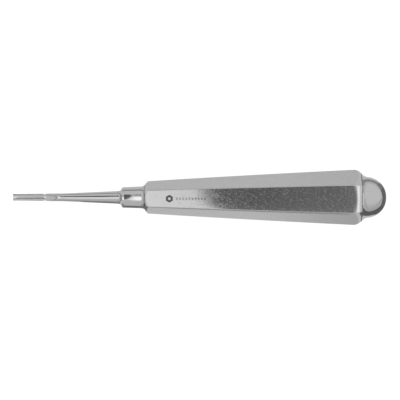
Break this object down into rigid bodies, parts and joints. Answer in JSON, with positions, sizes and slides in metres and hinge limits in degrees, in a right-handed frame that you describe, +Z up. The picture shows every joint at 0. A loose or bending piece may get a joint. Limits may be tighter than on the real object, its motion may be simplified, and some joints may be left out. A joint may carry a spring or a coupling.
{
  "type": "dental elevator",
  "caption": "Straight dental elevator with a narrow gouge blade and a hollow six-sided tapered steel handle closed by a domed cap.",
  "frame": {"origin": "centre of the bounding box's bottom face, on the surface that the handle's lower flat rests on", "axes": "+X from the cutting edge to the domed cap, +Z up and out of the hollow side of the blade, +Y to the left of that"},
  "size_m": [0.1598, 0.024, 0.0211],
  "materials": {
    "blade_steel": "polished",
    "ferrule_steel": "polished",
    "cap_steel": "polished",
    "handle_steel": "satin",
    "weld": "satin",
    "pin_steel": "satin",
    "plug_steel": "satin",
    "braze": "satin"
  },
  "bodies": {
    "root": {"working_end": "blade_steel", "tang_braze": "braze", "ferrule": "ferrule_steel", "tang_pin": "pin_steel", "nose_braze": "braze", "handle_shell_upper": "handle_steel", "handle_shell_lower": "handle_steel", "seam_weld_left": "weld", "seam_weld_right": "weld", "end_plug": "plug_steel", "cap_braze": "braze", "end_cap": "cap_steel"}
  },
  "joints": []
}
